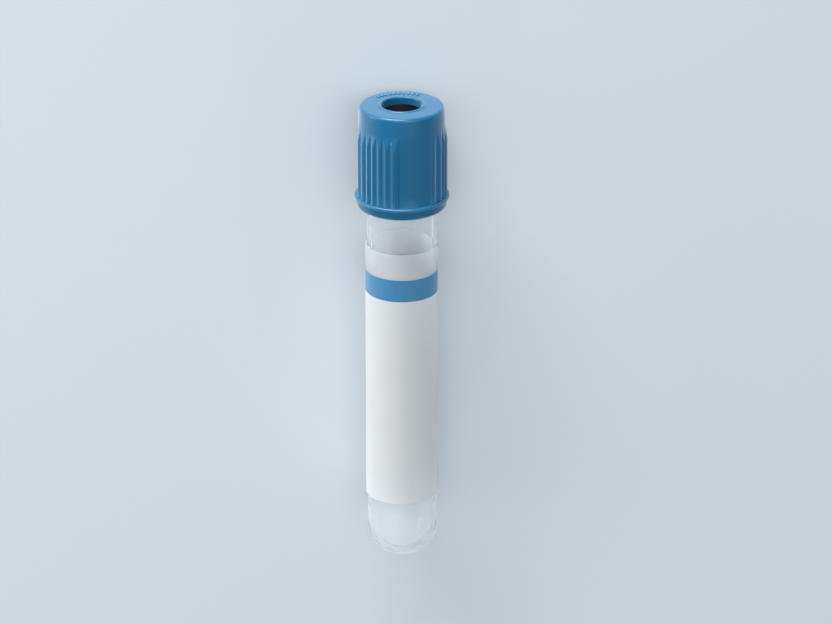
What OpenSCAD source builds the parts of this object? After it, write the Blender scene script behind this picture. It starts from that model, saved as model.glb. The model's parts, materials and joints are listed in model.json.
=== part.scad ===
// Blood collection tube: a clear round-bottomed tube, a wrapped label, a rubber stopper
// and a moulded shield that is twisted and pulled off with the stopper.
// It lies on its side, on the shield's lip and on the wall beside the round end.
// The closure points along -Y, the label's lapped end is towards +X, and Z = 0 is the surface.

/* [Tube] */
// Outside diameter of the tube
tube_d = 15.5; // [12:0.1:18]
// Length of the tube, from its rim to the tip of its round end
tube_len = 100; // [80:1:125]
// Wall of the tube
tube_wall = 1.05; // [0.8:0.05:1.5]
// Thickness of the round end at its tip
tip_wall = 1.7; // [1.5:0.1:2.5]
// Rounding of the rim's two edges
rim_round = 0.35; // [0.1:0.05:0.39]

/* [Label] */
// Length of the label along the tube
label_len = 60.2; // [30:0.1:64]
// Distance from the tube's rim to the label's upper edge
label_drop = 24.5; // [18:0.1:28]
// Thickness of the label's film
label_t = 0.17; // [0.08:0.01:0.2]
// Angle over which the label's free end lies over its start
lap_angle = 24; // [10:1:60]
// Thickness that the free end adds over the lap
lap_t = 0.13; // [0.08:0.01:0.14]
// Turn of the free end from the label's middle, towards +X
lap_turn = 104; // [60:1:180]
// Distance from the label's upper edge to its coloured band
band_drop = 6; // [3:0.1:12]
// Width of the coloured band
band_w = 5.1; // [2:0.1:10]

/* [Stopper] */
// Height of the stopper's head, above the tube's rim
head_h = 6.05; // [5:0.05:8]
// How far the head stands out past the tube's wall
head_lip = 0.55; // [0.45:0.05:1]
// Rounding of the head's upper edge
head_round = 0.6; // [0.2:0.1:1]
// Length of the plug inside the tube
plug_len = 9; // [7:0.5:12]
// Height of each sealing ring around the plug
seal_h = 1.5; // [1:0.1:1.8]
// Number of sealing rings
seal_count = 3; // [2:1:3]
// Depth of the grooves between the sealing rings
seal_groove = 0.4; // [0.2:0.05:0.6]
// Diameter of the needle well's mouth
well_d = 9.6; // [9.2:0.1:10.4]
// Depth of the straight part of the needle well
well_wall = 2.2; // [1:0.1:3]
// Depth of the well's dished floor
well_dish = 2.2; // [1:0.1:2.4]
// Diameter of the well's flat floor
well_floor_d = 3.6; // [2:0.1:5]
// Thickness of the membrane that the needle pierces
membrane = 3.6; // [2.5:0.1:4.5]
// Diameter of the hollow under the membrane
hollow_d = 7; // [5:0.1:8]

/* [Shield] */
// Height of the shield
shield_h = 23.4; // [20:0.1:28]
// Wall of the shield at its roof
shield_wall = 0.94; // [0.8:0.02:1.4]
// Growth of the shield's radius from its roof's edge down to where the ribs begin
shield_draft = 0.2; // [0:0.05:0.5]
// Thickness of the roof
roof_t = 1.5; // [1.2:0.1:2]
// Rounding of the roof's outer edge
roof_round = 0.7; // [0.3:0.1:1]
// Diameter of the needle port in the roof
port_d = 8.9; // [7:0.1:9]
// Chamfer around the needle port
port_chamfer = 0.25; // [0.1:0.05:0.5]
// Height of the foot below the lip
foot_h = 2.1; // [1.5:0.1:3]
// How far the foot stands out past the wall
foot_out = 0.4; // [0.2:0.05:0.6]
// Rounding of the foot's outer edge
foot_round = 0.9; // [0.4:0.1:1]
// How far the lip stands out past the wall
lip_out = 0.95; // [0.7:0.05:1.4]
// Thickness of the lip
lip_t = 0.8; // [0.6:0.1:1.2]
// Height of the ledge that holds the stopper's head
ledge_h = 0.6; // [0.4:0.1:1]
// Height of the lead-in below the ledge
ledge_lead = 0.8; // [0.4:0.1:1.5]

/* [Shield ribs] */
// Number of smooth panels, with a group of ribs after each
panel_count = 3; // [2:1:3]
// Number of slim ribs in a group
slim_ribs = 4; // [3:1:6]
// Angle from one slim rib to the next
rib_pitch = 9.6; // [7:0.1:11]
// Angle taken by each of the two wide ribs that begin a group
wide_rib = 13.6; // [10:0.1:16]
// Angle taken by the rib that ends a group
edge_rib = 11.2; // [9:0.1:16]
// Height of the ribs above the wall at the lip
rib_h = 0.45; // [0.4:0.05:0.8]
// Depth of the valleys between the ribs
rib_valley = 0.36; // [0.25:0.01:0.39]
// Distance from the roof down to where the ribs begin
rib_drop = 4.4; // [3:0.1:8]
// Length over which the ribs rise to their full height
rib_ramp = 3; // [1.5:0.1:5]
// Turn of the first smooth panel's middle from the label's middle
panel_turn = 21; // [-60:1:60]

/* [Guide ribs in the shield] */
// Number of guide ribs inside the shield's skirt
guide_count = 12; // [6:1:18]
// Thickness of a guide rib
guide_t = 0.8; // [0.5:0.1:1.2]
// Distance from a guide rib's end up to the foot's edge
guide_end = 2.5; // [1:0.1:5]

/* [Fits] */
// Clearance between the plug and the tube's bore
plug_fit = 0.03; // [0.02:0.01:0.06]
// Clearance between the stopper's head and the shield
head_fit = 0.06; // [0.04:0.01:0.1]
// Clearance between the tube's wall and the ledge and guide ribs
tube_fit = 0.2; // [0.15:0.01:0.3]
// Room between the tube's wall and the shield's skirt
skirt_room = 0.7; // [0.5:0.05:0.8]

/* [Rest] */
// Turn of the tube about its own axis as it lies
rest_turn = -4; // [-180:1:180]

/* [Hidden] */
$fn = 96;
arc_step = 6;

clear_plastic = [0.84, 0.91, 0.95, 0.35];
film_white = [0.93, 0.94, 0.95];
film_frosted = [0.80, 0.83, 0.86];
band_blue = [0.22, 0.48, 0.67];
shield_blue = [0.17, 0.46, 0.65];
stopper_black = [0.09, 0.10, 0.12];

// Tube, standing on its tip at the origin
tube_r = tube_d / 2;
bore_r = tube_r - tube_wall;
bore_bottom = tip_wall + bore_r;
end_z = tube_r;

// Label
label_top = tube_len - label_drop;
label_bottom = label_top - label_len;
label_r = tube_r + label_t;
lap_r = label_r + lap_t;
lap_reach = tube_d * tan(lap_angle / 2);
band_top = label_top - band_drop;
band_bottom = band_top - band_w;

// Stopper, seated on the rim
head_r = tube_r + head_lip;
head_top = tube_len + head_h;
plug_r = bore_r - plug_fit;
plug_end = tube_len - plug_len;
seal_pitch = plug_len / seal_count;
well_floor = head_top - well_wall - well_dish;
hollow_top = well_floor - membrane;

// Shield
closure_top = head_top + head_fit + roof_t;
pocket_r = head_r + head_fit;
pocket_bottom = tube_len - head_fit;
ledge_r = tube_r + tube_fit;
skirt_r = tube_r + skirt_room;
roof_r = pocket_r + shield_wall;
foot_bottom = closure_top - shield_h;
lip_z = foot_bottom + foot_h + lip_t / 2;
wall_r = roof_r + shield_draft;
lip_r = wall_r + lip_out;
foot_r = wall_r + foot_out;

// Ribs
crest_r = wall_r + rib_h;
rib_steps = 6;
rib_root = (pocket_r + wall_r) / 2;
rib_top = closure_top - rib_drop;
ramp_over = 0.2;
ramp_slope = rib_h / rib_ramp;
group_angle = 2 * wide_rib + slim_ribs * rib_pitch + edge_rib;
panel_angle = 360 / panel_count - group_angle;

// Rest: the lip and the round end both touch the surface, which sets the tube's lean
lip_core = lip_r - lip_t / 2;
rest_reach = lip_z - end_z;
rest_lean = atan(lip_core / rest_reach) + asin((lip_t / 2 - tube_r) / norm([rest_reach, lip_core]));
roof_reach = closure_top - end_z - roof_round;
front_y = roof_reach * cos(rest_lean) + (roof_r - roof_round) * sin(rest_lean) + roof_round;
end_y = (front_y - tube_r) / 2;

// Points of an arc about c, from one angle to another
function arc(c, r, from, to) =
    let (steps = max(2, ceil(abs(to - from) / arc_step)))
    [for (i = [0:steps]) c + r * [cos(from + (to - from) * i / steps), sin(from + (to - from) * i / steps)]];

// Points of one rib's crest, from the valley at its start to just before the next valley
function rib_points(start, width) =
    [for (i = [0:rib_steps - 1])
        let (across = i / rib_steps, r = crest_r - rib_valley * (1 + cos(360 * across)) / 2)
        r * [cos(start + across * width), sin(start + across * width)]];

// Lays an upright piece on its side, as the whole tube rests
module laid() {
    translate([0, end_y, tube_r])
        rotate([90 - rest_lean, 0, 0])
            rotate([0, 0, rest_turn])
                translate([0, 0, -end_z])
                    children();
}

// Full turn of a profile, with x as the radius and y as the height
module turned(points) {
    rotate_extrude()
        polygon(points);
}

module tube() {
    color(clear_plastic)
        laid()
            turned(concat(
                arc([0, end_z], tube_r, -90, 0),
                arc([tube_r - rim_round, tube_len - rim_round], rim_round, 0, 90),
                arc([bore_r + rim_round, tube_len - rim_round], rim_round, 90, 180),
                arc([0, bore_bottom], bore_r, 0, -90)
            ));
}

// The film goes right round the tube, and its free end lies over its start
module label_film() {
    translate([0, 0, label_bottom])
        linear_extrude(label_len)
            difference() {
                union() {
                    circle(r = label_r);
                    intersection() {
                        circle(r = lap_r);
                        rotate(90 - lap_turn + lap_angle / 2)
                            polygon([[0, 0], [tube_d, -lap_reach], [tube_d, lap_reach]]);
                    }
                }
                circle(r = tube_r);
            }
}

// Part of the film between two heights
module film_field(low, high) {
    intersection() {
        label_film();
        translate([0, 0, low])
            cylinder(r = tube_d, h = high - low);
    }
}

module label() {
    laid() {
        color(film_white)
            film_field(label_bottom, band_bottom);
        color(band_blue)
            film_field(band_bottom, band_top);
        color(film_frosted)
            film_field(band_top, label_top);
    }
}

// One sealing ring's outline around the plug, from its lower groove up
function seal_points(i) =
    let (z = plug_end + i * seal_pitch, low = z + (seal_pitch - seal_h) / 2)
    [
        [plug_r - seal_groove, z],
        [plug_r - seal_groove, low],
        [plug_r, low + seal_groove],
        [plug_r, low + seal_h - seal_groove],
        [plug_r - seal_groove, low + seal_h]
    ];

module rubber_stopper() {
    color(stopper_black)
        laid()
            difference() {
                turned(concat(
                    [[0, plug_end]],
                    [for (i = [0:seal_count - 1]) each seal_points(i)],
                    [[plug_r - seal_groove, tube_len], [head_r, tube_len]],
                    arc([head_r - head_round, head_top - head_round], head_round, 0, 90),
                    [[0, head_top]]
                ));
                translate([0, 0, head_top - well_wall])
                    cylinder(d = well_d, h = well_wall + 1);
                translate([0, 0, well_floor])
                    cylinder(d1 = well_floor_d, d2 = well_d, h = well_dish);
                translate([0, 0, plug_end - 1])
                    cylinder(d = hollow_d, h = hollow_top - plug_end + 1);
            }
}

// Outer form of the shield without its ribs
module shield_body() {
    turned(concat(
        [[0, foot_bottom]],
        arc([foot_r - foot_round, foot_bottom + foot_round], foot_round, -90, 0),
        [[foot_r, lip_z - lip_t / 2]],
        arc([lip_core, lip_z], lip_t / 2, -90, 90),
        [[wall_r, lip_z + lip_t / 2], [wall_r, rib_top]],
        arc([roof_r - roof_round, closure_top - roof_round], roof_round, 0, 90),
        [[0, closure_top]]
    ));
}

// Space inside the shield: port, pocket for the stopper's head, ledge and skirt
module shield_inside() {
    turned([
        [0, foot_bottom - 1],
        [skirt_r + foot_round / 3, foot_bottom - 1],
        [skirt_r + foot_round / 3, foot_bottom],
        [skirt_r, foot_bottom + foot_round / 3],
        [skirt_r, pocket_bottom - ledge_h - ledge_lead],
        [ledge_r, pocket_bottom - ledge_h],
        [ledge_r, pocket_bottom],
        [pocket_r, pocket_bottom],
        [pocket_r, closure_top - roof_t],
        [0, closure_top - roof_t]
    ]);
    translate([0, 0, closure_top - roof_t - 1])
        cylinder(d = port_d, h = roof_t + 2);
    translate([0, 0, closure_top - port_chamfer])
        cylinder(d1 = port_d, d2 = port_d + 4 * port_chamfer, h = 2 * port_chamfer);
}

// One group of round-crested ribs: two wide ones, the slim ones and the one that ends the group
module rib_group() {
    linear_extrude(rib_top - lip_z + ramp_over)
        polygon(concat(
            [[rib_root, 0]],
            rib_points(0, wide_rib),
            rib_points(wide_rib, wide_rib),
            [for (i = [0:slim_ribs - 1]) each rib_points(2 * wide_rib + i * rib_pitch, rib_pitch)],
            rib_points(group_angle - edge_rib, edge_rib),
            [for (r = [crest_r - rib_valley, rib_root]) r * [cos(group_angle), sin(group_angle)]]
        ));
}

// All the ribs, cut back by a cone so that they rise out of the wall
module shield_ribs() {
    intersection() {
        for (i = [0:panel_count - 1])
            rotate(90 + panel_turn + panel_angle / 2 + 360 * i / panel_count)
                translate([0, 0, lip_z])
                    rib_group();
        turned([
            [0, lip_z],
            [crest_r + ramp_over, lip_z],
            [crest_r + ramp_over, rib_top - (rib_h + ramp_over) / ramp_slope],
            [wall_r - ramp_over * ramp_slope, rib_top + ramp_over],
            [0, rib_top + ramp_over]
        ]);
    }
}

module guide_ribs() {
    for (i = [0:guide_count - 1])
        rotate(360 * i / guide_count)
            translate([ledge_r, -guide_t / 2, foot_bottom + guide_end])
                cube([skirt_room - tube_fit + shield_wall / 2, guide_t,
                      pocket_bottom - ledge_h - foot_bottom - guide_end]);
}

module cap_shield() {
    color(shield_blue)
        laid() {
            difference() {
                union() {
                    shield_body();
                    shield_ribs();
                }
                shield_inside();
            }
            guide_ribs();
        }
}

tube();
label();
rubber_stopper();
cap_shield();
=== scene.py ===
import json
import math

import bmesh
import bpy
from mathutils import Matrix, Vector


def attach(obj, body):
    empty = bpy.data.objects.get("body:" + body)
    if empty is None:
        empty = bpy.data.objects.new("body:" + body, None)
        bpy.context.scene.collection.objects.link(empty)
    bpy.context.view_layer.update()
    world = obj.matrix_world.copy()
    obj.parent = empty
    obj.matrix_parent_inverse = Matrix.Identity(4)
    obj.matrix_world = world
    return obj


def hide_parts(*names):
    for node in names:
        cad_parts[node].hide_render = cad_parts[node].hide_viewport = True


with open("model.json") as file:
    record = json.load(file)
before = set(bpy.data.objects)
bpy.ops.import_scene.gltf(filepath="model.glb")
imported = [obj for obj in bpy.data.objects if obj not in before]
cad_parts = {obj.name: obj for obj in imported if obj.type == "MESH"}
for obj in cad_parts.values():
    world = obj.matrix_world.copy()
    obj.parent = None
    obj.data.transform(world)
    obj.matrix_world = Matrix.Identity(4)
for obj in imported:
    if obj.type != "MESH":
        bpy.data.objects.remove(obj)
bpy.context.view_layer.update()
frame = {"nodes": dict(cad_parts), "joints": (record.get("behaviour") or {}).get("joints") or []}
print("frame loaded:", ", ".join(sorted(frame["nodes"])))

mm = 0.001
weldDistance = 2e-6     # metres: vertices nearer than this are one
joints = {joint["name"]: joint for joint in frame["joints"]}
towardsCap = Vector(joints["closure_pull"]["axis"]).normalized()
rimMiddle = Vector(joints["closure_twist"]["pos_m"])
acrossTube = Vector((0, towardsCap.z, -towardsCap.y))   # square to the tube's axis, facing up
rimHeight = 100         # millimetres from the tip to the rim
lean = math.atan2(towardsCap.z, -towardsCap.y)
uprightToLying = (
    Matrix.Translation(rimMiddle)
    @ Matrix.Rotation(math.pi / 2 - lean, 4, "X")
    @ Matrix.Translation((0, 0, -rimHeight * mm))
)


# Modelling helpers. Every piece is drawn upright, with its axis on Z and the tube's tip at 0.

def freshSelection():
    if bpy.context.mode != "OBJECT":
        bpy.ops.object.mode_set(mode="OBJECT")
    bpy.ops.object.select_all(action="DESELECT")


def only(piece):
    freshSelection()
    piece.select_set(True)
    bpy.context.view_layer.objects.active = piece


def applyPlace():
    bpy.ops.object.transform_apply(location=True, rotation=True, scale=True)


def editOnly(piece):
    only(piece)
    bpy.ops.object.mode_set(mode="EDIT")
    bpy.ops.mesh.select_mode(type="VERT")
    bpy.ops.mesh.select_all(action="DESELECT")


def pickVerts(piece, test):
    mesh = bmesh.from_edit_mesh(piece.data)
    for vert in mesh.verts:
        vert.select = test(vert)
    mesh.select_flush_mode()
    bmesh.update_edit_mesh(piece.data)


def pickFaces(piece, test):
    bpy.ops.mesh.select_mode(type="FACE")
    mesh = bmesh.from_edit_mesh(piece.data)
    for face in mesh.faces:
        face.select = test(face.calc_center_median())
    mesh.select_flush_mode()
    bmesh.update_edit_mesh(piece.data)


def arc(middle, radius, fromAngle, toAngle, steps):
    points = []
    for i in range(steps + 1):
        angle = math.radians(fromAngle + (toAngle - fromAngle) * i / steps)
        points.append((middle[0] + radius * math.cos(angle), middle[1] + radius * math.sin(angle)))
    return points


# Draws a ring out along a profile of (radius, height) in millimetres. A radius of 0 is a pole.
def turnOut(name, profile, columns, closed=False):
    poleRadius = 0.0005     # millimetres, welded to one vertex at the end
    rings = [(max(radius, poleRadius) * mm, height * mm) for radius, height in profile]
    freshSelection()
    bpy.ops.mesh.primitive_circle_add(
        vertices=columns, radius=rings[0][0], location=(0, 0, rings[0][1]))
    piece = bpy.context.object
    piece.name = piece.data.name = name
    applyPlace()
    editOnly(piece)
    bpy.ops.mesh.select_all(action="SELECT")
    for (radius, height), (nextRadius, nextHeight) in zip(rings, rings[1:]):
        bpy.ops.mesh.extrude_edges_move(
            TRANSFORM_OT_translate={"value": (0, 0, nextHeight - height)})
        growth = nextRadius / radius
        if not math.isclose(growth, 1):
            bpy.ops.transform.resize(
                value=(growth, growth, 1), center_override=(0, 0, nextHeight))
    if closed:
        bpy.ops.mesh.select_all(action="DESELECT")
        bpy.ops.mesh.select_non_manifold()
        bpy.ops.mesh.bridge_edge_loops()
    bpy.ops.mesh.select_all(action="SELECT")
    bpy.ops.mesh.remove_doubles(threshold=weldDistance)
    bpy.ops.mesh.normals_make_consistent(inside=False)
    bpy.ops.object.mode_set(mode="OBJECT")
    return piece


def finishModifiers(piece):
    only(piece)
    for modifier in list(piece.modifiers):
        bpy.ops.object.modifier_apply(modifier=modifier.name)


def joinInto(piece, others):
    only(piece)
    for other in others:
        other.select_set(True)
    bpy.ops.object.join()


# A small block with rounded edges, in millimetres, as the start of a guide rib or a raised mark
def softBlock(name, size, middle, edge):
    freshSelection()
    bpy.ops.mesh.primitive_cube_add(size=1, location=[value * mm for value in middle])
    block = bpy.context.object
    block.name = block.data.name = name
    block.scale = [value * mm for value in size]
    applyPlace()
    editOnly(block)
    bpy.ops.mesh.select_all(action="SELECT")
    bpy.ops.mesh.bevel(offset=edge * mm, segments=3, affect="EDGES")
    bpy.ops.object.mode_set(mode="OBJECT")
    return block


# One copy of a small piece for each turn about the tube's axis, each with its own mesh
def copiesAround(piece, angles):
    copies = []
    for angle in angles:
        only(piece)
        bpy.ops.object.duplicate(linked=False)
        copy = bpy.context.object
        copy.matrix_world = Matrix.Rotation(math.radians(angle), 4, "Z")
        applyPlace()
        copies.append(copy)
    bpy.data.objects.remove(piece)
    return copies


def layDown(piece):
    only(piece)
    piece.matrix_world = uprightToLying
    applyPlace()


def smooth(piece, angle):
    only(piece)
    bpy.ops.object.shade_smooth_by_angle(angle=math.radians(angle))


# Material helpers

def fromScreen(red, green, blue):
    def channel(value):
        value /= 255
        return value / 12.92 if value <= 0.04045 else ((value + 0.055) / 1.055) ** 2.4
    return (channel(red), channel(green), channel(blue), 1)


def newMaterial(name):
    material = bpy.data.materials.new(name)
    material.use_nodes = True
    tree = material.node_tree
    return material, tree, tree.nodes["Principled BSDF"], tree.nodes["Material Output"]


def setSockets(node, values):
    for key, value in values.items():
        node.inputs[key].default_value = value


def addNode(tree, kind, inputs=None, **settings):
    node = tree.nodes.new(kind)
    for key, value in settings.items():
        setattr(node, key, value)
    setSockets(node, inputs or {})
    return node


# Each link is a node and its output, then a node and its input
def wire(tree, links):
    for source, outgoing, target, incoming in links:
        tree.links.new(source.outputs[outgoing], target.inputs[incoming])


def newGroup(name, inputs, outputs):
    group = bpy.data.node_groups.new(name, "ShaderNodeTree")
    for label, kind, value in inputs:
        socket = group.interface.new_socket(name=label, in_out="INPUT", socket_type=kind)
        if value is not None:
            socket.default_value = value
    for label, kind in outputs:
        group.interface.new_socket(name=label, in_out="OUTPUT", socket_type=kind)
    return group, group.nodes.new("NodeGroupInput"), group.nodes.new("NodeGroupOutput")


def placeGroup(tree, group, inputs):
    node = tree.nodes.new("ShaderNodeGroup")
    node.node_tree = group
    setSockets(node, inputs)
    return node


# Fine grain of a moulded or rolled surface: a height for the bump, and a roughness that wanders
# in broad patches
def makeGrainGroup():
    patchShare = 0.06       # the patches' scale as a share of the grain's
    group, given, result = newGroup(
        "fineGrain",
        [("Vector", "NodeSocketVector", None), ("Scale", "NodeSocketFloat", 3000.0),
         ("Roughness", "NodeSocketFloat", 0.4), ("Spread", "NodeSocketFloat", 0.08)],
        [("Roughness", "NodeSocketFloat"), ("Height", "NodeSocketFloat")],
    )
    fine = addNode(group, "ShaderNodeTexNoise", {"Detail": 3.0, "Roughness": 0.6})
    broad = addNode(group, "ShaderNodeTexNoise", {"Detail": 2.0, "Roughness": 0.5})
    slower = addNode(group, "ShaderNodeMath", {1: patchShare}, operation="MULTIPLY")
    offset = addNode(group, "ShaderNodeMath", {1: 0.5}, operation="SUBTRACT")
    spread = addNode(group, "ShaderNodeMath", operation="MULTIPLY")
    total = addNode(group, "ShaderNodeMath", operation="ADD", use_clamp=True)
    wire(group, (
        (given, "Vector", fine, "Vector"),
        (given, "Scale", fine, "Scale"),
        (given, "Scale", slower, 0),
        (given, "Vector", broad, "Vector"),
        (slower, 0, broad, "Scale"),
        (broad, "Fac", offset, 0),
        (offset, 0, spread, 0),
        (given, "Spread", spread, 1),
        (given, "Roughness", total, 0),
        (spread, 0, total, 1),
        (total, 0, result, "Roughness"),
        (fine, "Fac", result, "Height"),
    ))
    return group


# Slight drift of a colour over a piece, and a paler tone where its edges are rubbed
def makeToneGroup():
    group, given, result = newGroup(
        "toneDrift",
        [("Vector", "NodeSocketVector", None),
         ("Colour", "NodeSocketColor", (0.5, 0.5, 0.5, 1)),
         ("Rubbed Colour", "NodeSocketColor", (0.8, 0.8, 0.8, 1)),
         ("Scale", "NodeSocketFloat", 120.0),
         ("Drift", "NodeSocketFloat", 0.06), ("Rub", "NodeSocketFloat", 0.2)],
        [("Colour", "NodeSocketColor")],
    )
    noise = addNode(group, "ShaderNodeTexNoise", {"Detail": 4.0, "Roughness": 0.55})
    span = addNode(group, "ShaderNodeMapRange", {"From Min": 0.3, "From Max": 0.7})
    low = addNode(group, "ShaderNodeMath", {0: 1.0}, operation="SUBTRACT")
    high = addNode(group, "ShaderNodeMath", {0: 1.0}, operation="ADD")
    tint = addNode(group, "ShaderNodeVectorMath", operation="SCALE")
    edges = addNode(group, "ShaderNodeNewGeometry")
    sharp = addNode(group, "ShaderNodeMapRange", {"From Min": 0.52, "From Max": 0.62})
    patchy = addNode(group, "ShaderNodeMath", operation="MULTIPLY", use_clamp=True)
    amount = addNode(group, "ShaderNodeMath", operation="MULTIPLY", use_clamp=True)
    mix = addNode(group, "ShaderNodeMix", data_type="RGBA")
    wire(group, (
        (given, "Vector", noise, "Vector"),
        (given, "Scale", noise, "Scale"),
        (noise, "Fac", span, "Value"),
        (given, "Drift", low, 1),
        (given, "Drift", high, 1),
        (low, 0, span, "To Min"),
        (high, 0, span, "To Max"),
        (given, "Colour", tint, 0),
        (span, "Result", tint, "Scale"),
        (edges, "Pointiness", sharp, "Value"),
        (sharp, "Result", patchy, 0),
        (noise, "Fac", patchy, 1),
        (patchy, 0, amount, 0),
        (given, "Rub", amount, 1),
        (amount, 0, mix, "Factor"),
        (tint, "Vector", mix, "A"),
        (given, "Rubbed Colour", mix, "B"),
        (mix, "Result", result, "Colour"),
    ))
    return group


grainGroup = makeGrainGroup()
toneGroup = makeToneGroup()


# A plastic, film or rubber from its finish, with any other values for the shader's own sockets
def coatedMaterial(name, finish, *socketValues):
    material, tree, shader, _ = newMaterial(name)
    place = addNode(tree, "ShaderNodeTexCoord")
    tone = placeGroup(tree, toneGroup, {
        "Colour": finish["colour"], "Rubbed Colour": finish["rubbedColour"],
        "Scale": finish["toneScale"], "Drift": finish["drift"], "Rub": finish["rub"]})
    grain = placeGroup(tree, grainGroup, {
        "Scale": finish["grainScale"], "Roughness": finish["roughness"],
        "Spread": finish["spread"]})
    bump = addNode(
        tree, "ShaderNodeBump", {"Strength": 0.5, "Distance": finish["grainDepth"] * mm})
    wire(tree, (
        (place, "Object", tone, "Vector"),
        (place, "Object", grain, "Vector"),
        (tone, "Colour", shader, "Base Color"),
        (grain, "Roughness", shader, "Roughness"),
        (grain, "Height", bump, "Height"),
        (bump, "Normal", shader, "Normal"),
    ))
    for values in socketValues:
        setSockets(shader, values)
    return material


def wear(piece, *materials):
    piece.data.materials.clear()
    for material in materials:
        piece.data.materials.append(material)


print("helpers and shared node groups ready")


# Camera: looks down on the tube from the closure's side, with the closure at the top
cameraSettings = {
    "elevation": 23.0,      # degrees from square above the tube towards the closure
    "distance": 1.0,        # metres
    "viewWidth": 184.2,     # millimetres across the picture at the tube
    "aimAlong": 58.75,      # millimetres up the tube from its tip to the middle of the picture
    "aimAside": 3.1,
    "sensorWidth": 36,
    "clipping": (0.01, 20),
}


def addCamera(settings):
    raised = math.radians(settings["elevation"])
    back = math.sin(raised) * towardsCap + math.cos(raised) * acrossTube
    up = math.cos(raised) * towardsCap - math.sin(raised) * acrossTube
    right = up.cross(back)
    target = (
        rimMiddle + towardsCap * (settings["aimAlong"] - rimHeight) * mm
        + right * settings["aimAside"] * mm)
    bpy.ops.object.camera_add()
    camera = bpy.context.object
    camera.name = "pictureCamera"
    camera.data.sensor_width = settings["sensorWidth"]
    camera.data.lens = (
        settings["sensorWidth"] * settings["distance"] / (settings["viewWidth"] * mm))
    camera.data.clip_start, camera.data.clip_end = settings["clipping"]
    turn = Matrix((right, up, back)).transposed().to_4x4()
    camera.matrix_world = Matrix.Translation(target + back * settings["distance"]) @ turn
    bpy.context.scene.camera = camera


addCamera(cameraSettings)
print("camera placed")


# Tube: a clear moulded shell with a round end and a rounded rim
tubeSettings = {
    "radius": 7.75,
    "wall": 1.05,
    "tipWall": 1.7,
    "rimRound": 0.35,
    "rimSteps": 5,
    "boreSteps": 22,        # rings round the hollow end
    "tipSteps": 24,         # rings round the outer end
    "wallRows": (20, 40, 60, 80),
    "columns": 192,
    "smoothAngle": 60,
    "tint": fromScreen(253, 254, 255),
    "lampTint": (0.985, 0.99, 0.995, 1),
    "roughness": 0.035,
    "spread": 0.03,
    "grainScale": 900.0,
    "ior": 1.22,
    "gloss": 1.0,
    "clearness": 0.94,
}


def buildTube(settings):
    radius, rows = settings["radius"], list(settings["wallRows"])
    bore = radius - settings["wall"]
    floorOfBore = settings["tipWall"] + bore
    rim, rimSteps = settings["rimRound"], settings["rimSteps"]
    inside = arc((0, floorOfBore), bore, -90, 0, settings["boreSteps"])
    inside += [(bore, height) for height in rows]
    overRim = (
        arc((bore + rim, rimHeight - rim), rim, 180, 90, rimSteps)
        + arc((radius - rim, rimHeight - rim), rim, 90, 0, rimSteps)
    )
    outside = [(radius, height) for height in reversed(rows)]
    outside += arc((0, radius), radius, 0, -90, settings["tipSteps"])
    return turnOut("clearTube", inside + overRim + outside, settings["columns"])


def clearPlastic(settings):
    material, tree, shader, output = newMaterial("clearPolymer")
    setSockets(shader, {
        "Base Color": settings["tint"], "Transmission Weight": settings["clearness"],
        "IOR": settings["ior"], "Specular IOR Level": settings["gloss"]})
    place = addNode(tree, "ShaderNodeTexCoord")
    grain = placeGroup(tree, grainGroup, {
        "Scale": settings["grainScale"], "Roughness": settings["roughness"],
        "Spread": settings["spread"]})
    # lamps shine through the wall, so that what is inside and behind stays lit
    path = addNode(tree, "ShaderNodeLightPath")
    through = addNode(tree, "ShaderNodeBsdfTransparent", {"Color": settings["lampTint"]})
    mix = addNode(tree, "ShaderNodeMixShader")
    wire(tree, (
        (place, "Object", grain, "Vector"),
        (grain, "Roughness", shader, "Roughness"),
        (path, "Is Shadow Ray", mix, 0),
        (shader, 0, mix, 1),
        (through, 0, mix, 2),
        (mix, 0, output, "Surface"),
    ))
    return material


tube = buildTube(tubeSettings)
smooth(tube, tubeSettings["smoothAngle"])
wear(tube, clearPlastic(tubeSettings))
layDown(tube)
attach(tube, "tube")
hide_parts("tube")
print("tube made:", len(tube.data.polygons), "faces")


# Label: one film wrapped right round the tube, its free end lapped over its start
labelSettings = {
    "innerRadius": 7.76,
    "thickness": 0.15,
    "bottom": 15.3,
    "length": 60.2,
    "corner": 1.5,
    "cornerSteps": 6,
    "bandBottom": 64.4,
    "bandTop": 69.5,
    "lapAngle": 24,         # degrees of film under the free end
    "lapTurn": 104,         # degrees from the label's middle to the free end
    "lapLift": 0.165,
    "lapRamp": 5,           # columns in which the film climbs over its start
    "endLift": 0.12,        # how far the free end stands off
    "endRamp": 4,
    "columns": 160,
    "turn": -4,
    "smoothAngle": 40,
    # the thin film lets some light through to its back
    "filmSockets": {
        "Subsurface Radius": (1.0, 1.0, 1.0), "Subsurface Scale": 0.8 * mm,
        "Sheen Weight": 0.2, "Sheen Roughness": 0.4,
    },
    "finishes": {
        "whiteFilm": {
            "colour": fromScreen(235, 240, 244), "rubbedColour": fromScreen(246, 248, 249),
            "drift": 0.012, "rub": 0.3, "toneScale": 160,
            "roughness": 0.5, "spread": 0.1, "grainScale": 5200, "grainDepth": 0.02,
            "sockets": {"Subsurface Weight": 1.0},
        },
        "bandInk": {
            "colour": fromScreen(55, 128, 170), "rubbedColour": fromScreen(150, 186, 212),
            "drift": 0.035, "rub": 0.4, "toneScale": 420,
            "roughness": 0.44, "spread": 0.1, "grainScale": 5200, "grainDepth": 0.02,
            "sockets": {"Subsurface Weight": 0.6},
        },
        "marginFilm": {
            "colour": fromScreen(236, 241, 244), "rubbedColour": fromScreen(238, 241, 243),
            "drift": 0.02, "rub": 0.3, "toneScale": 260,
            "roughness": 0.6, "spread": 0.1, "grainScale": 3600, "grainDepth": 0.03,
            "sockets": {"Subsurface Weight": 1.0, "Alpha": 0.5},
        },
    },
}


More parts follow.
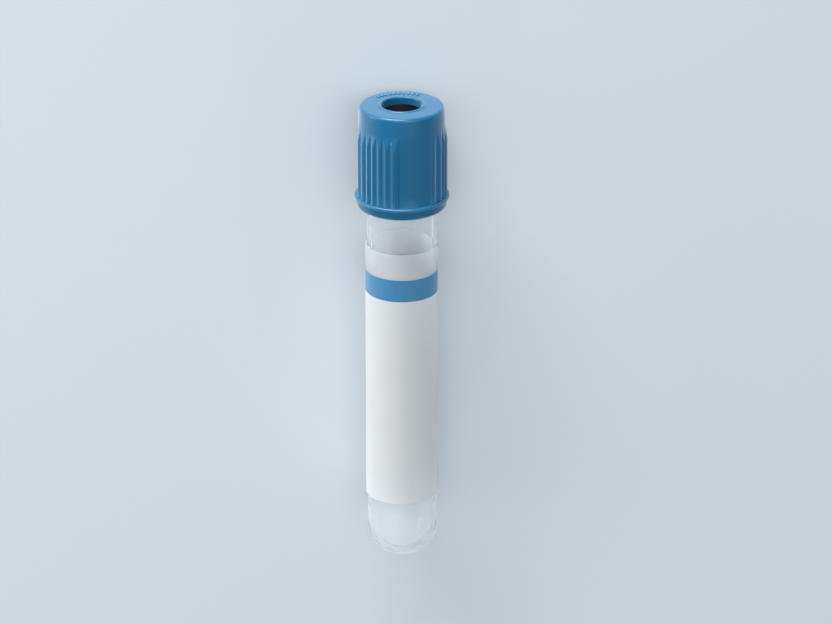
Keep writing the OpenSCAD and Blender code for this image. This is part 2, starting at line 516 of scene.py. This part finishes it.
def buildLabel(settings):
    radius, columns = settings["innerRadius"], settings["columns"]
    wrap = math.radians(360 + settings["lapAngle"])
    width, height = wrap * radius * mm, settings["length"] * mm
    freshSelection()
    bpy.ops.mesh.primitive_plane_add(size=1)
    film = bpy.context.object
    film.name = film.data.name = "labelFilm"
    film.scale = (width, height, 1)
    applyPlace()
    editOnly(film)
    bpy.ops.mesh.select_all(action="SELECT")
    bpy.ops.mesh.bevel(
        offset=settings["corner"] * mm, segments=settings["cornerSteps"],
        affect="VERTICES", profile=0.5)

    def cut(point, normal):
        bpy.ops.mesh.select_all(action="SELECT")
        bpy.ops.mesh.bisect(plane_co=point, plane_no=normal)

    def flatHeight(line):
        return (settings[line] - settings["bottom"]) * mm - height / 2

    for i in range(1, columns):
        cut((width * (i / columns - 0.5), 0, 0), (1, 0, 0))
    bandLow, bandHigh = flatHeight("bandBottom"), flatHeight("bandTop")
    for line in (bandLow, bandHigh):
        cut((0, line, 0), (0, 1, 0))
    for _ in settings["finishes"]:
        film.data.materials.append(None)
    for index, test in (
            (1, lambda middle: bandLow < middle.y < bandHigh),
            (2, lambda middle: middle.y > bandHigh)):
        pickFaces(film, test)
        film.active_material_index = index
        bpy.ops.object.material_slot_assign()
    # the lapped end climbs over the start, and stands off a little at its edge
    column = width / columns
    lapColumns = round(settings["lapAngle"] / math.degrees(wrap) * columns)
    bpy.ops.mesh.select_mode(type="VERT")
    for steps, lift, beyond in (
            (settings["lapRamp"], settings["lapLift"], lapColumns + settings["lapRamp"] - 1),
            (settings["endRamp"], settings["endLift"], settings["endRamp"])):
        for i in range(steps):
            edge = -width / 2 + (beyond - i + 0.5) * column
            pickVerts(film, lambda vert: vert.co.x < edge)
            bpy.ops.transform.translate(value=(0, 0, lift / steps * mm))
    bpy.ops.object.mode_set(mode="OBJECT")
    # stand the flat film up, then bend it round the tube
    film.rotation_euler = (math.pi / 2, 0, 0)
    applyPlace()
    bend = film.modifiers.new("wrap", "SIMPLE_DEFORM")
    bend.deform_method = "BEND"
    bend.deform_axis = "Z"
    bend.angle = wrap
    finishModifiers(film)
    film.location = (0, -radius * mm, 0)
    applyPlace()
    middle = settings["lapTurn"] - math.degrees(wrap) / 2
    film.rotation_euler = (0, 0, math.radians(180 + settings["turn"] - middle))
    film.location = (0, 0, settings["bottom"] * mm + height / 2)
    applyPlace()
    thicken = film.modifiers.new("filmThickness", "SOLIDIFY")
    thicken.thickness = settings["thickness"] * mm
    thicken.offset = 1
    thicken.use_even_offset = True
    finishModifiers(film)
    return film


label = buildLabel(labelSettings)
for index, (name, finish) in enumerate(labelSettings["finishes"].items()):
    label.data.materials[index] = coatedMaterial(
        name, finish, labelSettings["filmSockets"], finish["sockets"])
smooth(label, labelSettings["smoothAngle"])
layDown(label)
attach(label, "tube")
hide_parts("label")
print("label made:", len(label.data.polygons), "faces")


# Stopper: a rubber plug with sealing rings, a head that seats on the rim, and a needle well
stopperSettings = {
    "plugRadius": 6.67,
    "plugLength": 9.0,
    "plugRound": 0.3,
    "plugTop": ((0, 0.25), (0.08, 0.06), (0.3, 0)),     # out from the groove, down from the rim
    "grooveDepth": 0.4,
    "rings": 3,
    "ringHeight": 1.5,
    "ringFoot": (0.08, 0.1),
    "ringEdge": ((0.12, 0.24), (0.02, 0.38), (0, 0.5)),     # in from the bore, along the ring
    "headRadius": 8.3,
    "headHeight": 6.05,
    "headRound": 0.6,
    "headFootRound": 0.15,
    "wellRadius": 4.8,
    "wellWall": 2.2,
    "wellRound": 0.3,
    "wellDish": 2.2,
    "dishEdge": ((0, 0.15), (0.08, -0.05)),
    "dishSteps": 6,
    "dishCurve": 0.8,
    "wellFloor": 1.8,       # radius of the flat in the middle of the dish
    "floorEdge": (0.3, 0.02),
    "membrane": 3.6,
    "hollowRadius": 3.5,
    "hollowRound": 0.5,
    "hollowEdge": 0.25,
    "fineSteps": 3,
    "roundSteps": 4,
    "headSteps": 6,
    "columns": 160,
    "smoothAngle": 40,
    "finish": {
        "colour": fromScreen(26, 30, 36), "rubbedColour": fromScreen(70, 76, 84),
        "drift": 0.12, "rub": 0.35, "toneScale": 320,
        "roughness": 0.55, "spread": 0.14, "grainScale": 4200, "grainDepth": 0.05,
    },
}


def sealingRing(settings, low):
    plug, groove = settings["plugRadius"], settings["plugRadius"] - settings["grooveDepth"]
    high = low + settings["ringHeight"]
    out, below = settings["ringFoot"]
    edge = settings["ringEdge"]
    # rounded, and squeezed flat against the bore
    return (
        [(groove, low - below), (groove + out, low)]
        + [(plug - inset, low + along) for inset, along in edge]
        + [(plug, low + settings["ringHeight"] / 2)]
        + [(plug - inset, high - along) for inset, along in reversed(edge)]
        + [(groove + out, high)]
    )


def buildStopper(settings):
    groove = settings["plugRadius"] - settings["grooveDepth"]
    head, headTop = settings["headRadius"], rimHeight + settings["headHeight"]
    plugEnd, plugRound = rimHeight - settings["plugLength"], settings["plugRound"]
    pitch = settings["plugLength"] / settings["rings"]
    wellFloor = headTop - settings["wellWall"] - settings["wellDish"]
    hollowTop = wellFloor - settings["membrane"]
    hollow, hollowRound = settings["hollowRadius"], settings["hollowRound"]
    hollowEdge = settings["hollowEdge"]
    fine, steps = settings["fineSteps"], settings["roundSteps"]
    profile = [(0, hollowTop)]
    profile += arc((hollow - hollowRound, hollowTop - hollowRound), hollowRound, 90, 0, steps)
    profile += arc((hollow + hollowEdge, plugEnd + hollowEdge), hollowEdge, 180, 270, fine)
    profile += arc((groove - plugRound, plugEnd + plugRound), plugRound, -90, 0, fine)
    for i in range(settings["rings"]):
        profile += sealingRing(
            settings, plugEnd + i * pitch + (pitch - settings["ringHeight"]) / 2)
    profile += [(groove + out, rimHeight - down) for out, down in settings["plugTop"]]
    headFoot, headEdge = settings["headFootRound"], settings["headRound"]
    profile += arc((head - headFoot, rimHeight + headFoot), headFoot, -90, 0, fine)
    profile += arc((head - headEdge, headTop - headEdge), headEdge, 0, 90, settings["headSteps"])
    well, wellEdge = settings["wellRadius"], settings["wellRound"]
    profile += arc((well + wellEdge, headTop - wellEdge), wellEdge, 90, 180, steps)
    # the dished floor of the well
    dishTop = headTop - settings["wellWall"]
    profile += [(well - inset, dishTop + up) for inset, up in settings["dishEdge"]]
    flat, dishSteps = settings["wellFloor"], settings["dishSteps"]
    for i in range(1, dishSteps):
        share = i / dishSteps
        profile.append((
            well + (flat - well) * share,
            dishTop - settings["wellDish"] * share ** settings["dishCurve"]))
    inset, up = settings["floorEdge"]
    profile += [(flat, wellFloor + up), (flat - inset, wellFloor), (0, wellFloor)]
    return turnOut("rubberStopper", profile, settings["columns"])


stopper = buildStopper(stopperSettings)
wear(stopper, coatedMaterial("stopperRubber", stopperSettings["finish"]))
smooth(stopper, stopperSettings["smoothAngle"])
layDown(stopper)
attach(stopper, "stopper")
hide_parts("rubber_stopper")
print("stopper made:", len(stopper.data.polygons), "faces")


# Shield: a moulded shell with a needle port, groups of grip ribs, a lip and a rounded foot
shieldSettings = {
    "top": 107.61,
    "height": 23.4,
    "roofRadius": 9.3,
    "roofRound": 0.7,
    "roofThickness": 1.5,
    "roofRows": (6.0, 7.4),
    "wallRadius": 9.5,
    "wallTaper": (0.2, 0.45, 0.7, 0.9),     # shares of the way from the roof to the ribs
    "wallRows": (0.12, 0.3, 3, 7),          # above the lip
    "portRadius": 4.45,
    "portRound": 0.35,
    "portRow": 0.8,
    "portSteps": 6,
    "roundSteps": 8,
    "beadHeight": 0.2,
    "beadSlope": (      # out from the port's edge, share of the height
        (0.1, 0.94), (0.18, 0.78), (0.25, 0.54), (0.31, 0.28), (0.38, 0.08), (0.48, 0)),
    "lipRadius": 10.45,
    "lipThickness": 0.8,
    "lipFillet": ((0.02, 0.03), (0.08, 0)),
    "footHeight": 2.1,
    "footRadius": 9.9,
    "footRound": 0.9,
    "footFillet": 0.06,
    "mouthEdge": ((0.3, 0), (0.12, 0.06), (0, 0.3)),
    "ribs": (17, 17, 12, 12, 12, 12, 14),   # columns in each rib of a group
    "ribHeight": 0.45,
    "ribValley": 0.42,
    "ribDrop": 4.4,
    "ribRamp": 3.0,
    "rampSteps": 12,
    "ribFillet": 0.05,
    "filletHeight": 0.2,
    "columnAngle": 0.8,
    "grooveDepth": 0.12,    # the crease beside each smooth panel
    "groups": 3,
    "panelMiddle": 17,      # degrees from the side that faces up
    "skirtRadius": 8.45,
    "ledgeRadius": 7.95,
    "ledgeDrop": 0.06,      # under the tube's rim
    "ledgeHeight": 0.6,
    "ledgeLead": 0.8,
    "pocketRadius": 8.36,
    "guideRibs": 12,
    "guideThickness": 0.8,
    "guideEnd": 2.5,
    "guideSunk": (0.4, 0.2),    # into the skirt and into the ledge
    "guideEdge": 0.15,
    "guideLead": 0.3,
    "marks": 10,
    "markPitch": 8.3,
    "markMiddle": 9,        # degrees from the side that faces the floor
    "markRadius": 7.15,
    "markSize": (0.5, 0.9, 0.22),
    "markSunk": 0.1,
    "markEdge": 0.06,
    "smoothAngle": 30,
    "sheen": {
        "Sheen Weight": 0.65, "Sheen Roughness": 0.35, "Sheen Tint": fromScreen(225, 232, 240)},
    "finishes": {
        "shieldPlastic": {
            "colour": fromScreen(5, 95, 135), "rubbedColour": fromScreen(120, 176, 210),
            "drift": 0.04, "rub": 0.35, "toneScale": 240,
            "roughness": 0.3, "spread": 0.08, "grainScale": 4600, "grainDepth": 0.03,
        },
        # the marks' plastic is a paler copy of the shield's: a painted highlight where the raised
        # marks catch the light
        "markPaintedHighlightPlastic": {
            "colour": fromScreen(34, 120, 164), "rubbedColour": fromScreen(120, 176, 210),
            "drift": 0.04, "rub": 0.2, "toneScale": 240,
            "roughness": 0.3, "spread": 0.08, "grainScale": 4600, "grainDepth": 0.02,
        },
    },
}


def ribRiseAt(column, settings):
    perGroup = round(360 / settings["groups"] / settings["columnAngle"])
    valley = settings["ribHeight"] - settings["ribValley"]
    place = column % perGroup
    if place in (perGroup - 1, sum(settings["ribs"]) + 1):
        return -settings["grooveDepth"]
    for width in settings["ribs"]:
        if place < width:
            wave = (1 + math.cos(2 * math.pi * place / width)) / 2
            return settings["ribHeight"] - settings["ribValley"] * wave
        place -= width
    return valley if place == 0 else 0


# Heights of the foot, of the lip's two sides and of the ribs' upper ends
def shieldLevels(settings):
    foot = settings["top"] - settings["height"]
    lipLow = foot + settings["footHeight"]
    return foot, lipLow, lipLow + settings["lipThickness"], settings["top"] - settings["ribDrop"]


# Rows of the ribbed wall: those where the ribs fade in under the roof, then those above the lip
def ribRows(settings):
    _, _, lipHigh, ribTop = shieldLevels(settings)
    steps = settings["rampSteps"]
    rampRows = [ribTop - settings["ribRamp"] * (1 - i / steps) for i in range(steps + 1)]
    return rampRows, [lipHigh + height for height in settings["wallRows"]]


def shieldOutline(settings):
    top, steps = settings["top"], settings["roundSteps"]
    foot, lipLow, lipHigh, ribTop = shieldLevels(settings)
    wall, port, roof = settings["wallRadius"], settings["portRadius"], settings["roofRadius"]
    roofInside = top - settings["roofThickness"]
    outline = [(port, roofInside), (port, top - settings["portRow"])]
    # a fine bead stands round the port
    bead, portEdge = settings["beadHeight"], settings["portRound"]
    outline += arc(
        (port + portEdge, top + bead - portEdge), portEdge, 180, 90, settings["portSteps"])
    outline += [(port + portEdge + out, top + bead * rise) for out, rise in settings["beadSlope"]]
    outline += [(radius, top) for radius in settings["roofRows"]]
    roofEdge = settings["roofRound"]
    outline += arc((roof - roofEdge, top - roofEdge), roofEdge, 90, 0, steps)
    for share in settings["wallTaper"]:
        outline.append((
            roof + (wall - roof) * share,
            top - roofEdge + (ribTop - top + roofEdge) * share))
    for rows in ribRows(settings):
        outline += [(wall, height) for height in reversed(rows)]
    outline += [(wall + out, lipHigh + up) for out, up in settings["lipFillet"]]
    lipEdge = settings["lipThickness"] / 2
    outline += arc((settings["lipRadius"] - lipEdge, lipLow + lipEdge), lipEdge, 90, -90, steps)
    footWall, footEdge = settings["footRadius"], settings["footRound"]
    fillet = settings["footFillet"]
    outline += [(footWall + fillet, lipLow), (footWall, lipLow - fillet)]
    outline += arc((footWall - footEdge, foot + footEdge), footEdge, 0, -90, steps)
    # up the inside: the mouth, the skirt, the ledge and the pocket for the stopper's head
    skirt, ledge, pocket = (
        settings["skirtRadius"], settings["ledgeRadius"], settings["pocketRadius"])
    ledgeTop = rimHeight - settings["ledgeDrop"]
    ledgeLow = ledgeTop - settings["ledgeHeight"]
    outline += [(skirt + out, foot + up) for out, up in settings["mouthEdge"]]
    outline += [(skirt, ledgeLow - settings["ledgeLead"]), (ledge, ledgeLow)]
    outline += [(ledge, ledgeTop), (pocket, ledgeTop), (pocket, roofInside)]
    return outline


# The wall's columns are drawn out ring by ring, and fade in under the roof
def drawRibs(shield, settings):
    onWall, leastMove = 0.01, 1e-4      # millimetres
    wall = settings["wallRadius"]
    _, _, lipHigh, ribTop = shieldLevels(settings)
    rampRows, straightRows = ribRows(settings)
    editOnly(shield)
    mesh = bmesh.from_edit_mesh(shield.data)
    wanted = {}
    for height in rampRows + straightRows:
        grown = min(1, (ribTop - height) / settings["ribRamp"])
        fillet = settings["ribFillet"] if height < lipHigh + settings["filletHeight"] else 0
        for vert in mesh.verts:
            outside = math.hypot(vert.co.x, vert.co.y) > (wall - onWall) * mm
            if not outside or abs(vert.co.z - height * mm) >= weldDistance:
                continue
            fromFirst = math.degrees(math.atan2(vert.co.y, vert.co.x)) - 90
            rise = ribRiseAt(round(fromFirst / settings["columnAngle"]), settings)
            rise = rise * grown if rise < 0 else min(rise, settings["ribHeight"] * grown)
            radius = wall + rise + fillet
            if abs(radius - wall) > leastMove:
                wanted.setdefault(round(radius, 4), set()).add(vert.index)
    for radius, members in sorted(wanted.items()):
        pickVerts(shield, lambda vert: vert.index in members)
        growth = radius / wall
        bpy.ops.transform.resize(value=(growth, growth, 1), center_override=(0, 0, 0))
    bpy.ops.object.mode_set(mode="OBJECT")


def buildShield(settings):
    shield = turnOut(
        "capShield", shieldOutline(settings), round(360 / settings["columnAngle"]), closed=True)
    drawRibs(shield, settings)
    panelAngle = 360 / settings["groups"] - sum(settings["ribs"]) * settings["columnAngle"]
    shield.rotation_euler = (0, 0, math.radians(settings["panelMiddle"] + panelAngle / 2))
    only(shield)
    applyPlace()
    return shield


def buildGuideRibs(settings):
    foot = settings["top"] - settings["height"] + settings["guideEnd"]
    ledge = settings["ledgeRadius"]
    ledgeLow = rimHeight - settings["ledgeDrop"] - settings["ledgeHeight"]
    outwards, upwards = settings["guideSunk"]
    depth = settings["skirtRadius"] + outwards - ledge
    block = softBlock(
        "guideRib", (depth, settings["guideThickness"], ledgeLow - foot + upwards),
        (ledge + depth / 2, 0, (ledgeLow + foot + upwards) / 2), settings["guideEdge"])
    # the rib's lower end leads the tube in
    corner = 0.2        # millimetres, a little more than the rounded edge
    editOnly(block)
    pickVerts(block, lambda vert: (
        vert.co.z < (foot + corner) * mm and vert.co.x < (ledge + corner) * mm))
    bpy.ops.transform.translate(value=(settings["guideLead"] * mm, 0, 0))
    bpy.ops.object.mode_set(mode="OBJECT")
    return copiesAround(
        block, [360 * i / settings["guideRibs"] for i in range(settings["guideRibs"])])


def buildMarks(settings):
    width, length, height = settings["markSize"]
    sunk = settings["markSunk"]
    block = softBlock(
        "roofMark", (length, width, height + sunk),
        (settings["markRadius"], 0, settings["top"] + height / 2 - sunk / 2),
        settings["markEdge"])
    pitch, count = settings["markPitch"], settings["marks"]
    first = settings["markMiddle"] - 90 - pitch * (count - 1) / 2
    return copiesAround(block, [first + pitch * i for i in range(count)])


shield = buildShield(shieldSettings)
guideRibs, marks = buildGuideRibs(shieldSettings), buildMarks(shieldSettings)
shieldPlastic, markPaintedHighlightPlastic = (
    coatedMaterial(name, finish, shieldSettings["sheen"])
    for name, finish in shieldSettings["finishes"].items())
for piece in [shield] + guideRibs:
    wear(piece, shieldPlastic)
# the raised marks wear the paler copy of the plastic, a painted highlight
for piece in marks:
    wear(piece, markPaintedHighlightPlastic)
joinInto(shield, guideRibs + marks)
smooth(shield, shieldSettings["smoothAngle"])
layDown(shield)
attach(shield, "shield")
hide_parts("cap_shield")
print("shield made:", len(shield.data.polygons), "faces")


# Stage: a plain pale floor with painted light on it, a pale surround and soft lamps
stageSettings = {
    "floorSize": 4,
    "floorColour": fromScreen(192, 198, 203),
    "floorRoughness": 0.75,
    "paintedFloorLight": (0.12, 0.24),      # painted light on the floor, weaker away from and stronger beside the side lamp
    "glowReach": 0.11,
    "paintedFloorReflection": (0.0, 1.0),       # painted reflection: the same, as reflections see it
    "mirrorReach": 0.05,
    "surround": fromScreen(222, 229, 235),
    "surroundStrength": 0.43,
}
lampSettings = {
    "sideLamp": {
        "place": (0.85, -0.2, 0.13), "size": (0.6, 0.2), "power": 2.7,
        "colour": (0.98, 0.99, 1.0)},
    "capLamp": {
        "place": (0.52, -1.84, 0.34), "size": (1.3, 0.54), "power": 55.0,
        "colour": (1.0, 1.0, 1.0)},
    "frontLamp": {
        "place": (0.0, -0.42, 0.95), "size": (1.0, 0.8), "power": 3.6,
        "colour": (0.94, 0.975, 1.0)},
    "fillLamp": {
        "place": (-0.4, -0.2, 0.87), "size": (0.7, 0.6), "power": 1.8,
        "colour": (0.94, 0.975, 1.0)},
    "endLamp": {
        "place": (0.35, 0.85, 0.3), "size": (0.06, 0.06), "power": 0.5,
        "colour": (0.98, 0.99, 1.0)},
    "tipLamp": {
        "place": (-0.55, 0.75, 0.3), "size": (0.06, 0.06), "power": 0.5,
        "colour": (0.98, 0.99, 1.0)},
}


# A strength of painted light that changes across the floor, from one side of the tube to the other
def paintedLightAcross(tree, reach, glow):
    return addNode(tree, "ShaderNodeMapRange", {
        "From Min": -reach, "From Max": reach, "To Min": glow[0], "To Max": glow[1]})


def addFloor(settings):
    freshSelection()
    bpy.ops.mesh.primitive_plane_add(size=settings["floorSize"], location=(0, 0, 0))
    floor = bpy.context.object
    floor.name = "floor"
    material, tree, shader, output = newMaterial("floorPaint")
    setSockets(shader, {
        "Base Color": settings["floorColour"], "Roughness": settings["floorRoughness"],
        "Specular IOR Level": 0.0})
    # painted light: the paint glows paler to the camera, through glass and in reflections, most
    # beside the side lamp, as a painted pool of light and a painted reflection
    glow = addNode(tree, "ShaderNodeEmission", {"Color": settings["floorColour"]})
    place = addNode(tree, "ShaderNodeTexCoord")
    across = addNode(tree, "ShaderNodeSeparateXYZ")
    seenPaintedLight = paintedLightAcross(tree, settings["glowReach"], settings["paintedFloorLight"])
    mirroredPaintedLight = paintedLightAcross(tree, settings["mirrorReach"], settings["paintedFloorReflection"])
    path = addNode(tree, "ShaderNodeLightPath")
    seen = addNode(tree, "ShaderNodeMath", operation="MAXIMUM")
    seenPart = addNode(tree, "ShaderNodeMath", operation="MULTIPLY")
    mirrored = addNode(tree, "ShaderNodeMath", operation="SUBTRACT", use_clamp=True)
    mirroredPart = addNode(tree, "ShaderNodeMath", operation="MULTIPLY")
    strength = addNode(tree, "ShaderNodeMath", operation="ADD")
    both = addNode(tree, "ShaderNodeAddShader")
    wire(tree, (
        (place, "Object", across, 0),
        (across, "X", seenPaintedLight, "Value"),
        (across, "X", mirroredPaintedLight, "Value"),
        (path, "Is Camera Ray", seen, 0),
        (path, "Is Transmission Ray", seen, 1),
        (seen, 0, seenPart, 0),
        (seenPaintedLight, "Result", seenPart, 1),
        (path, "Is Glossy Ray", mirrored, 0),
        (path, "Is Transmission Ray", mirrored, 1),
        (mirrored, 0, mirroredPart, 0),
        (mirroredPaintedLight, "Result", mirroredPart, 1),
        (seenPart, 0, strength, 0),
        (mirroredPart, 0, strength, 1),
        (strength, 0, glow, "Strength"),
        (shader, 0, both, 0),
        (glow, 0, both, 1),
        (both, 0, output, "Surface"),
    ))
    wear(floor, material)


def addSurround(settings):
    world = bpy.data.worlds.new("paleSurround")
    bpy.context.scene.world = world
    world.use_nodes = True
    setSockets(world.node_tree.nodes["Background"], {
        "Color": settings["surround"], "Strength": settings["surroundStrength"]})


# Every lamp is aimed at the middle of the tube
def addLamps(lamps):
    for name, lamp in lamps.items():
        place = Vector(lamp["place"])
        bpy.ops.object.light_add(type="AREA", location=place)
        light = bpy.context.object
        light.name = name
        light.data.shape = "RECTANGLE"
        light.data.size, light.data.size_y = lamp["size"]
        light.data.energy = lamp["power"]
        light.data.color = lamp["colour"]
        light.rotation_euler = (-place).to_track_quat("-Z", "Y").to_euler()


addFloor(stageSettings)
addSurround(stageSettings)
addLamps(lampSettings)
bpy.context.scene.view_settings.view_transform = "Standard"
print("stage and lamps placed")

freshSelection()
